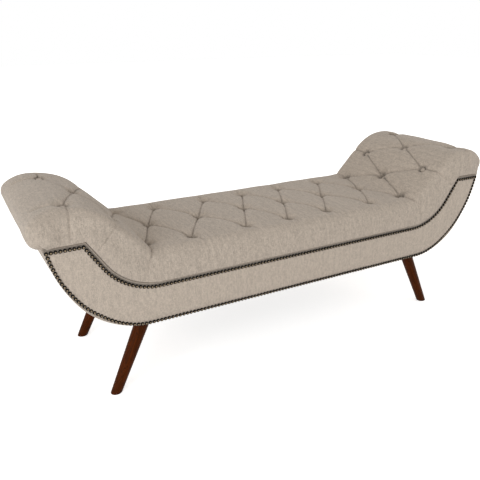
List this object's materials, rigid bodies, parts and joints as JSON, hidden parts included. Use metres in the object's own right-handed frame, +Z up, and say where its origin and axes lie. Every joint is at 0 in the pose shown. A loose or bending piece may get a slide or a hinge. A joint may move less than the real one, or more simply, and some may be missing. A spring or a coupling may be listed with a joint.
{
  "type": "upholstered bench",
  "caption": "Backless upholstered bench with scrolled roll arms, deep diamond buttoning, boat-shaped body edged with nail heads, and splayed tapered wooden legs.",
  "frame": {"origin": "centre of the bench's footprint, on the floor", "axes": "+X along the bench, -Y its front, +Z up"},
  "size_m": [1.5718, 0.4652, 0.574],
  "materials": {
    "plywood": "raw birch plywood",
    "softwood": "planed softwood",
    "leg_wood": "walnut-brown stained, satin lacquer",
    "linen": "coarse woven linen blend",
    "dust_cloth": "black non-woven",
    "foam": "open-cell polyurethane foam",
    "nail_bronze": "dark antique bronze",
    "zinc_steel": "zinc-plated"
  },
  "bodies": {
    "root": {"back_board_left": "plywood", "back_board_middle": "plywood", "back_board_right": "plywood", "back_fascia": "linen", "back_left_leg": "leg_wood", "back_left_leg_block": "softwood", "back_nail_trim": "nail_bronze", "back_right_leg": "leg_wood", "back_right_leg_block": "softwood", "dust_cover": "dust_cloth", "front_board_left": "plywood", "front_board_middle": "plywood", "front_board_right": "plywood", "front_fascia": "linen", "front_left_leg": "leg_wood", "front_left_leg_block": "softwood", "front_nail_trim": "nail_bronze", "front_right_leg": "leg_wood", "front_right_leg_block": "softwood", "hanger_bolts": "zinc_steel", "left_arm_buttons": "linen", "left_arm_deck": "plywood", "left_arm_foam": "foam", "left_arm_slope_rail": "softwood", "left_arm_top_rail": "softwood", "left_arm_topper": "linen", "left_belly_cover": "linen", "left_belly_skin": "plywood", "left_end_rail": "softwood", "left_mid_rail": "softwood", "right_arm_buttons": "linen", "right_arm_deck": "plywood", "right_arm_foam": "foam", "right_arm_slope_rail": "softwood", "right_arm_top_rail": "softwood", "right_arm_topper": "linen", "right_belly_cover": "linen", "right_belly_skin": "plywood", "right_end_rail": "softwood", "right_mid_rail": "softwood", "seat_buttons": "linen", "seat_deck": "plywood", "seat_foam": "foam", "seat_topper": "linen", "threaded_inserts": "zinc_steel"}
  },
  "joints": []
}
